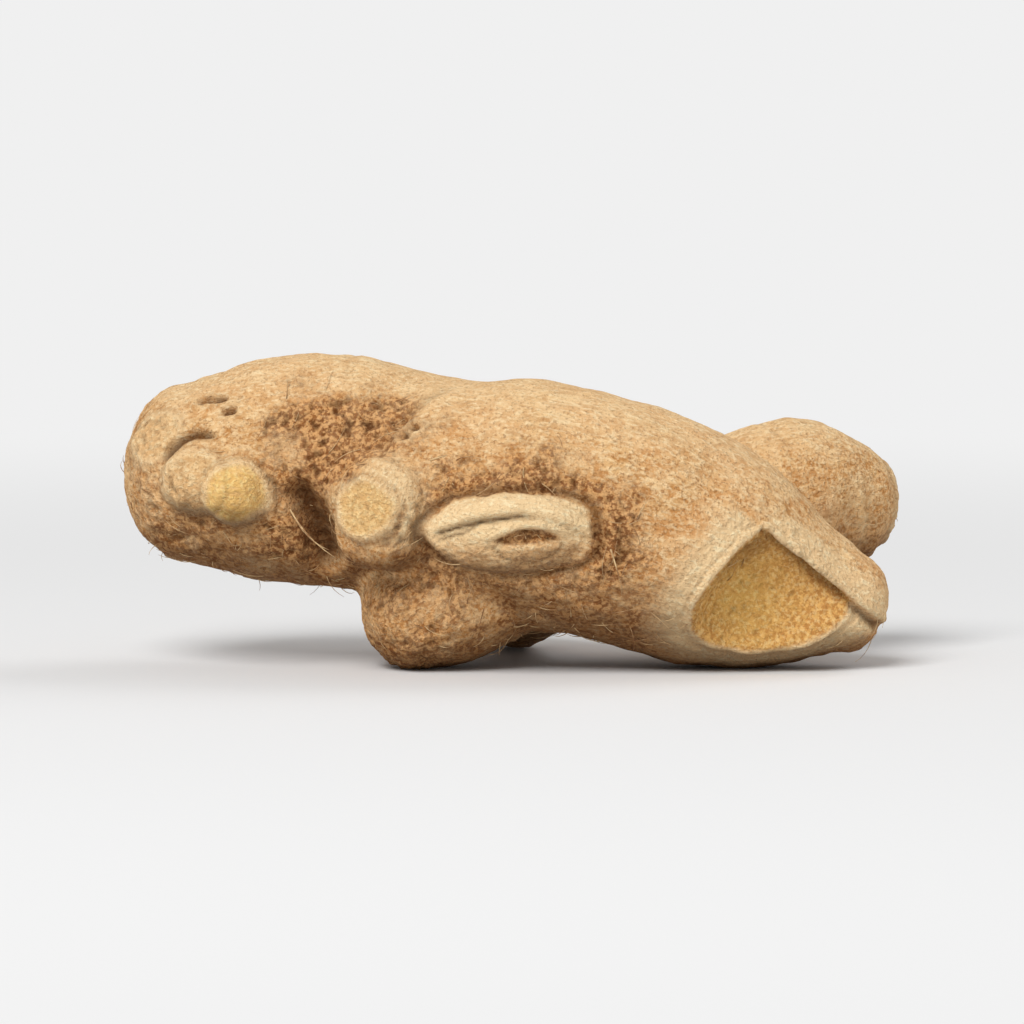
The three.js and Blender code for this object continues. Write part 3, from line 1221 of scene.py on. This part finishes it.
    def grain(self, skin: Surface) -> tuple[Array, Array]:
        """For each point, its place along its own finger, squeezed so that fibres come out long.

        Args:
            skin: the skin as it is so far.

        Returns:
            The places, and how near each point is to another finger's fibres: 1 where they meet.
        """
        places, weights = self.owners(skin)
        chosen = weights.argmax(axis=0)
        own = np.stack(places)[chosen, np.arange(len(chosen))] / np.array([self.fibre_stretch, 1.0, 1.0])
        second, first = np.sort(weights, axis=0)[-2:]
        return own + chosen[:, None] * self.pattern_shift, 1.0 - fade(first - second, 0.3, 0.95)

    def build(self) -> Surface:
        """Shapes and paints the whole skin.

        Returns:
            The finished skin.
        """
        skin = self.even_mesh()
        self.soften(skin)
        skin.push(self.lumps(skin))
        for scar in self.scars:
            scar.mould(skin, self.box)
        grown = (*self.cork, *self.grooves, self.eye, self.cut, self.pits, self.marks, *self.scars)
        height = sum(part.relief(skin, self.box) for part in grown)
        skin.push(height + self.wrinkles(skin))
        self.settle(skin)
        self.cork_and_painted_light(skin)
        return skin

    def dress(self, skin: Surface, finish: SkinFinish, speckle: bpy.types.NodeTree) -> bpy.types.Object:
        """Puts the arrays into a mesh, with the paint and the grain as attributes, and gives it its finish.

        Args:
            skin: the finished skin.
            finish: the finish that it gets.
            speckle: the shared speckle group.

        Returns:
            The object, which rides on the root and stands for the CAD node.
        """
        mesh = bpy.data.meshes.new("ginger_skin")
        mesh.from_pydata((skin.points / METRE).tolist(), [], skin.faces.tolist())
        mesh.shade_smooth()
        places, border = self.grain(skin)
        numbers = {kind.value: amount for kind, amount in skin.paint.items()} | {"border": border}
        for name, amount in numbers.items():
            attribute = mesh.attributes.new(name, "FLOAT", "POINT")
            attribute.data.foreach_set("value", amount.astype(np.float32))
        grain = mesh.attributes.new("grain", "FLOAT_VECTOR", "POINT")
        grain.data.foreach_set("vector", places.astype(np.float32).ravel())
        mesh.materials.append(finish.material(speckle))
        return add_piece("ginger_skin", mesh)


@dataclass
class RootHairs:
    """Fine dry hairs, thickest in the cork: each a tapered tube bent over towards the skin.

    Attributes:
        count: how many.
        sides: round each.
        stops: along each.
        length: of the shortest and the longest.
        radius: at the root of a hair.
        strands: the longer ones, each by its start, a place that it bends towards, and its end.
        strand_radius: at the root of a strand.
        seed: which places they take.
    """

    count: int = 420
    sides: int = 4
    stops: int = 6
    length: tuple[float, float] = (1.2, 5.0)
    radius: float = 0.07
    strands: tuple[Line, ...] = (
        ((0.229, 0.20, 0.53), (0.238, 0.15, 0.44), (0.278, 0.16, 0.375)),
        ((0.233, 0.21, 0.49), (0.246, 0.17, 0.42), (0.268, 0.19, 0.40)),
        ((0.625, 0.05, 0.42), (0.632, 0.01, 0.36), (0.640, 0.03, 0.28)),
        ((0.455, 0.06, 0.60), (0.475, 0.0, 0.62), (0.487, 0.03, 0.66)),
        ((0.398, 0.16, 0.66), (0.410, 0.10, 0.71), (0.445, 0.12, 0.72)),
    )
    strand_radius: float = 0.16
    seed: int = 17

    def lines(self, skin: Surface, box: Box) -> Array:
        """The middle line of each hair.

        A hair goes t of its length along a chosen way on the skin, and out of it by 0.45t - 0.4t^2. A strand
        is the curve (1 - t)^2 a + 2t (1 - t) b + t^2 c between its three places, from the skin nearest to a.

        Args:
            skin: the skin as it is so far.
            box: the CAD box.

        Returns:
            Points, hair by hair and stop by stop.
        """
        random = np.random.default_rng(self.seed)
        chance = skin.paint[Paint.CORK_AND_SHADE] ** 2 * (skin.points[:, 2] > 3.0) + 0.004
        picked = random.choice(len(skin.points), self.count, replace=False, p=chance / chance.sum())
        out = skin.normals()[picked]
        way = unit(np.cross(out, random.normal(size=(self.count, 3))))
        bend = np.cross(out, way) * random.uniform(-0.5, 0.5, (self.count, 1))
        shortest, longest = self.length
        length = random.uniform(0.0, 1.0, (self.count, 1, 1)) ** 2 * (longest - shortest) + shortest
        share = np.linspace(0.0, 1.0, self.stops)[None, :, None]
        rise = 0.45 * share - 0.4 * share**2 - 0.03
        path = share * way[:, None] + share**2 * bend[:, None] + rise * out[:, None]
        hairs = skin.points[picked][:, None] + length * path
        there = share[0]
        back = 1.0 - there
        bent = []
        for start, towards, end in (map(box.at, strand) for strand in self.strands):
            rooted = skin.nearest(start)
            bent.append(back**2 * rooted + 2.0 * there * back * towards + there**2 * end)
        return np.concatenate([hairs, bent])

    def tubes(self, lines: Array) -> tuple[Array, Array]:
        """Carries a tapering ring along every line, and closes both ends with a point.

        Args:
            lines: points, hair by hair and stop by stop.

        Returns:
            All the points, and the faces as rows of four, in which a triangle repeats its last point.
        """
        forward = unit(np.gradient(lines, axis=1))
        side = unit(np.cross(forward, UP + 0.01))
        other = np.cross(forward, side)
        angle = np.linspace(0.0, math.tau, self.sides, endpoint=False)
        radius = np.where(np.arange(len(lines)) < self.count, self.radius, self.strand_radius)
        taper = 1.0 - 0.75 * np.linspace(0.0, 1.0, self.stops)
        thick = (radius[:, None] * taper)[:, :, None, None]
        ring = side[:, :, None] * np.cos(angle)[:, None] + other[:, :, None] * np.sin(angle)[:, None]
        rings = (lines[:, :, None] + thick * ring).reshape(len(lines), -1, 3)
        points = np.concatenate([rings, lines[:, :1], lines[:, -1:]], axis=1)
        stop, corner = np.meshgrid(np.arange(self.stops - 1), np.arange(self.sides), indexing="ij")
        start, end = stop * self.sides + corner, stop * self.sides + (corner + 1) % self.sides
        walls = np.stack([start, end, end + self.sides, start + self.sides], -1).reshape(-1, 4)
        heel, tip = self.stops * self.sides, self.stops * self.sides + 1
        around = np.arange(self.sides)
        after = (around + 1) % self.sides
        last = heel - self.sides
        same = np.ones_like(around)
        close_heel = np.stack([after, around, same * heel, same * heel], -1)
        close_tip = np.stack([last + around, last + after, same * tip, same * tip], -1)
        faces = np.concatenate([walls, close_heel, close_tip])
        every = np.arange(len(lines))[:, None, None] * (tip + 1) + faces
        return points.reshape(-1, 3), every.reshape(-1, 4)

    def build(
        self, skin: Surface, box: Box, finish: HairFinish, speckle: bpy.types.NodeTree
    ) -> bpy.types.Object:
        """Makes all the hairs as one piece.

        Args:
            skin: the finished skin that they grow from.
            box: the CAD box.
            finish: the finish that they get.
            speckle: the shared speckle group.

        Returns:
            The object, which rides on the root.
        """
        points, faces = self.tubes(self.lines(skin, box))
        points[:, 2] = np.maximum(points[:, 2], FLOOR_GAP)
        mesh = bpy.data.meshes.new("root_hairs")
        rows = [row[:3] if row[2] == row[3] else row for row in faces.tolist()]
        mesh.from_pydata((points / METRE).tolist(), [], rows)
        mesh.shade_smooth()
        mesh.materials.append(finish.material(speckle))
        return add_piece("root_hairs", mesh)


def add_piece(name: str, mesh: bpy.types.Mesh) -> bpy.types.Object:
    """Adds a piece of the root at the origin, riding on the root.

    Args:
        name: the piece's name.
        mesh: its mesh, in metres.

    Returns:
        The object.
    """
    piece = bpy.data.objects.new(name, mesh)
    bpy.context.scene.collection.objects.link(piece)
    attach(piece, "root")
    log.info("%s: %d points, %d faces", name, len(mesh.vertices), len(mesh.polygons))
    return piece


# ---------------------------------------------------------------- the studio


@dataclass(frozen=True)
class FloorFinish:
    """Pale matt paper that fades into the background far from the root."""

    paper: Colour = (232, 232, 232)
    background: Colour = (240, 240, 240)
    fades: tuple[float, float] = (0.12, 0.42)  # metres

    def material(self, speckle: bpy.types.NodeTree) -> bpy.types.Material:
        """Builds the material with the shared speckle group.

        Args:
            speckle: the shared speckle group.

        Returns:
            The material.
        """
        material, nodes = new_material("paper")
        place = nodes.add("ShaderNodeTexCoord").outputs["Object"]
        level = nodes.group(speckle, {"Vector": place, "Scale": 900.0}).outputs["Level"]
        bump = nodes.add("ShaderNodeBump", {"Distance": 0.00002, "Height": level}).outputs[0]
        inputs = {"Base Color": colour(*self.paper), "Roughness": 0.95, "Specular IOR Level": 0.1}
        paper = nodes.add("ShaderNodeBsdfPrincipled", inputs | {"Normal": bump}).outputs[0]
        far = nodes.add("ShaderNodeEmission", {"Color": colour(*self.background)}).outputs[0]
        distance = nodes.add("ShaderNodeVectorMath", {0: place}, operation="LENGTH").outputs["Value"]
        share = nodes.step(distance, *self.fades)
        both = nodes.add("ShaderNodeMixShader", {0: share, 1: paper, 2: far}).outputs[0]
        nodes.add("ShaderNodeOutputMaterial", {"Surface": both})
        return material


@dataclass(frozen=True)
class Lamp:
    """A square soft light.

    Attributes:
        name: its name.
        place: where it is, in metres. It faces the root.
        size: of its side, in metres.
        power: in watts.
    """

    name: str
    place: tuple[float, float, float]
    size: float
    power: float


@dataclass
class Studio:
    """The floor, the soft light and the camera.

    Attributes:
        floor_radius: of the floor, in metres.
        floor_sides: points round the floor.
        floor_rings: rings of points on it.
        lens: the camera's focal length.
        elevation: how far the camera is above the level, in degrees.
        distance: from the camera to the middle of the root, in metres.
        aim: where the camera looks.
        lamps: the soft lights.
        fill: how strong the even light is.
        finish: the floor's finish.
    """

    floor_radius: float = 2.5
    floor_sides: int = 64
    floor_rings: int = 8
    lens: float = 250.0
    elevation: float = 5.0
    distance: float = 0.95
    aim: tuple[float, float, float] = (0.5, 0.4, 0.5)
    lamps: tuple[Lamp, ...] = (
        Lamp("key", (-0.55, -1.15, 1.35), 1.0, 28.0),
        Lamp("rim", (1.0, 0.7, 1.1), 0.9, 6.0),
    )
    fill: float = 0.36
    finish: FloorFinish = FloorFinish()

    def floor(self, speckle: bpy.types.NodeTree) -> None:
        """A flat disc: rings of points at the squares of even steps from the middle.

        Args:
            speckle: the shared speckle group.
        """
        sides, rings = self.floor_sides, self.floor_rings
        turns = np.linspace(0, math.tau, sides, endpoint=False)
        angle, reach = np.meshgrid(turns, np.linspace(0, 1, rings + 1)[1:] ** 2)
        disc = np.stack([np.cos(angle) * reach, np.sin(angle) * reach, np.zeros_like(angle)], -1)
        around, out = np.meshgrid(np.arange(sides), np.arange(rings - 1))
        start, end = out * sides + around, out * sides + (around + 1) % sides
        faces = np.stack([start, start + sides, end + sides, end], -1).reshape(-1, 4).tolist()
        mesh = bpy.data.meshes.new("floor")
        points = (disc.reshape(-1, 3) * self.floor_radius).tolist()
        mesh.from_pydata(points, [], [*faces, list(range(sides))])
        mesh.materials.append(self.finish.material(speckle))
        floor = bpy.data.objects.new("floor", mesh)
        bpy.context.scene.collection.objects.link(floor)

    def light(self, lamp: Lamp) -> None:
        """Adds a lamp, facing the root.

        Args:
            lamp: the lamp.
        """
        light = bpy.data.lights.new(lamp.name, "AREA")
        light.size = lamp.size
        light.energy = lamp.power
        lit = bpy.data.objects.new(lamp.name, light)
        lit.location = lamp.place
        lit.rotation_euler = (-Vector(lamp.place)).to_track_quat("-Z", "Y").to_euler()
        bpy.context.scene.collection.objects.link(lit)

    def world(self) -> None:
        """Even light from all round, and the background's own colour where the camera sees past the floor."""
        world = bpy.data.worlds.new("studio")
        world.use_nodes = True
        bpy.context.scene.world = world
        nodes = Nodes(world.node_tree)
        seen = nodes.add("ShaderNodeLightPath").outputs["Is Camera Ray"]
        white = {"Color": (1.0, 1.0, 1.0, 1.0), "Strength": self.fill}
        fill = nodes.add("ShaderNodeBackground", white).outputs[0]
        shown = nodes.add("ShaderNodeBackground", {"Color": colour(*self.finish.background)}).outputs[0]
        both = nodes.add("ShaderNodeMixShader", {0: seen, 1: fill, 2: shown}).outputs[0]
        nodes.add("ShaderNodeOutputWorld", {"Surface": both})

    def camera(self, box: Box) -> None:
        """A long lens in front of the root, a little above it.

        Args:
            box: the CAD box.
        """
        centre = Vector(box.at(self.aim) / METRE)
        tilt = math.radians(self.elevation)
        back = Vector((0.0, -math.cos(tilt), math.sin(tilt)))
        camera = bpy.data.objects.new("camera", bpy.data.cameras.new("camera"))
        camera.data.lens = self.lens
        camera.location = centre + back * self.distance
        camera.rotation_euler = (-back).to_track_quat("-Z", "Y").to_euler()
        bpy.context.scene.collection.objects.link(camera)
        bpy.context.scene.camera = camera

    def build(self, box: Box, speckle: bpy.types.NodeTree) -> None:
        """Sets up the whole studio.

        Args:
            box: the CAD box.
            speckle: the shared speckle group.
        """
        self.camera(box)
        self.floor(speckle)
        self.world()
        for lamp in self.lamps:
            self.light(lamp)
        bpy.context.scene.view_settings.view_transform = "Standard"


def main() -> None:
    """Builds the root and the studio."""
    logging.basicConfig(level=logging.INFO, format="%(name)s: %(message)s")
    speckle = speckle_group()
    root = GingerSkin()
    Studio().build(root.box, speckle)
    skin = root.build()
    piece = root.dress(skin, SkinFinish(), speckle)
    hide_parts("ginger_root")
    RootHairs().build(skin, root.box, HairFinish(), speckle)
    bpy.context.view_layer.update()


if __name__ == "__main__":
    main()
